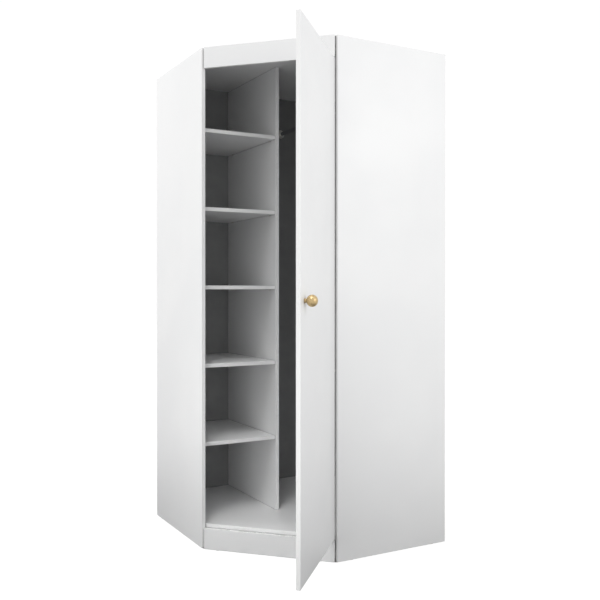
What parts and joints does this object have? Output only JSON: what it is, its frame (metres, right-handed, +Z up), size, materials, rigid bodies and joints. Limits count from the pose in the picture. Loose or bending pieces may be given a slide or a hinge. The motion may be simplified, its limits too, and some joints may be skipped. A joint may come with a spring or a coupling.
{
  "type": "corner wardrobe",
  "caption": "Corner wardrobe of white laminated board with a diagonal front, one full-height hinged door, a column of shelves and a hanging compartment with a rod.",
  "frame": {"origin": "the room's back corner on the floor, at the foot of the corner post", "axes": "+X along the left wall towards the corner, +Y along the right wall towards the corner, +Z up; the diagonal front faces -X and -Y"},
  "size_m": [0.962, 1.3418, 2.102],
  "materials": {
    "white_laminate": "white melamine, satin with a very fine texture",
    "back_sheet": "white-faced hardboard, matte",
    "chrome_tube": "polished",
    "nickel": "nickel plated",
    "zinc_steel": "zinc plated",
    "zinc_cast": "die cast, dull",
    "beech": "bare fluted beech",
    "black_plastic": "moulded, matte",
    "white_plastic": "moulded, matte",
    "gold": "glossy gold"
  },
  "bodies": {
    "carcass": {"side_panel_left": "white_laminate", "side_panel_right": "white_laminate", "top_panel": "white_laminate", "bottom_panel": "white_laminate", "partition": "white_laminate", "corner_post": "white_laminate", "back_panel_left": "back_sheet", "back_panel_right": "back_sheet", "front_rail": "white_laminate", "plinth": "white_laminate", "shelf_1": "white_laminate", "shelf_2": "white_laminate", "shelf_3": "white_laminate", "shelf_4": "white_laminate", "shelf_5": "white_laminate", "shelf_pins": "nickel", "hanging_rod": "chrome_tube", "rod_sockets": "nickel", "rod_screws": "zinc_steel", "cam_locks": "zinc_cast", "cam_bolts": "zinc_steel", "dowels": "beech", "confirmat_screws": "zinc_steel", "back_nails": "zinc_steel", "plinth_brackets": "zinc_steel", "rail_brackets": "zinc_steel", "bracket_screws": "zinc_steel", "support_legs": "black_plastic", "leg_screws": "zinc_steel", "floor_glides": "white_plastic", "wall_brackets": "zinc_steel", "wall_bracket_screws": "zinc_steel", "hinge_arms": "nickel", "hinge_plates": "nickel", "hinge_plate_screws": "nickel", "hinge_arm_screws": "nickel"},
    "door": {"door_panel": "white_laminate", "hinge_cups": "nickel", "hinge_cup_screws": "nickel", "hinge_pins": "nickel", "knob": "gold", "knob_screw": "zinc_steel"}
  },
  "joints": [
    {"name": "door_swing", "type": "hinge", "parent": "carcass", "child": "door", "pos_m": [-0.56494, -0.94664, 1.0515], "axis": [0, 0, 1], "range_deg": [-90.3, 9.7]}
  ]
}
